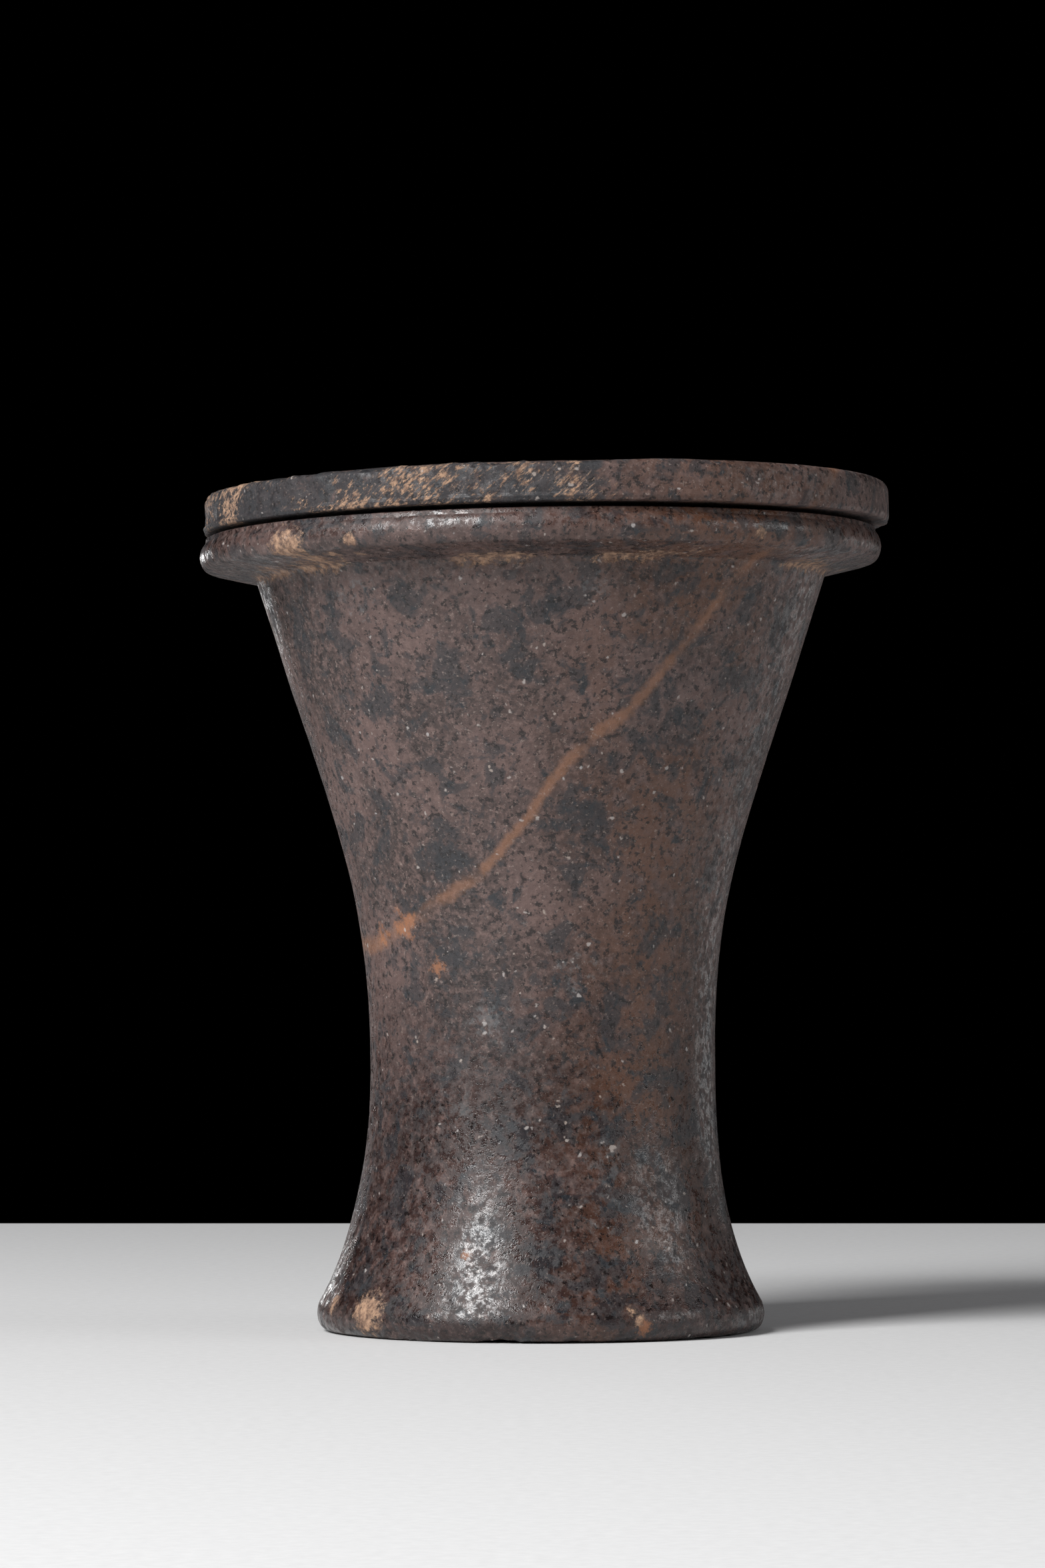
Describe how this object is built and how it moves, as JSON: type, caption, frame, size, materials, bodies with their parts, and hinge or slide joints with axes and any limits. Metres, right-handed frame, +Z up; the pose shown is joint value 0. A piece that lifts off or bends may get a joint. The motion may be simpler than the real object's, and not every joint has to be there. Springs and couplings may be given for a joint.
{
  "type": "kohl jar",
  "caption": "Waisted stone jar with a wide flat rim, a drilled well for kohl and a loose disc lid whose plug drops into the mouth.",
  "frame": {"origin": "middle of the jar's flat base, on the surface it stands on", "axes": "+Z up along the jar, -Y is the side the picture shows, +X to its right; the rim rises towards +X by one degree"},
  "size_m": [0.0494, 0.0492, 0.0604],
  "materials": {
    "jar_stone": "dark red-brown stone, worn polish, blue-black mottles, rust veins",
    "lid_stone": "the same stone, rougher, chipped along one side of its edge",
    "kohl": "dry black eye paint, dull, faintly glittering"
  },
  "bodies": {
    "jar": {"jar_body": "jar_stone", "kohl_cake": "kohl"},
    "lid": {"lid": "lid_stone"}
  },
  "joints": [
    {"name": "lid_lift", "type": "slide", "parent": "jar", "child": "lid", "axis": [0, 0, 1], "range_m": [0, 0.03]}
  ]
}
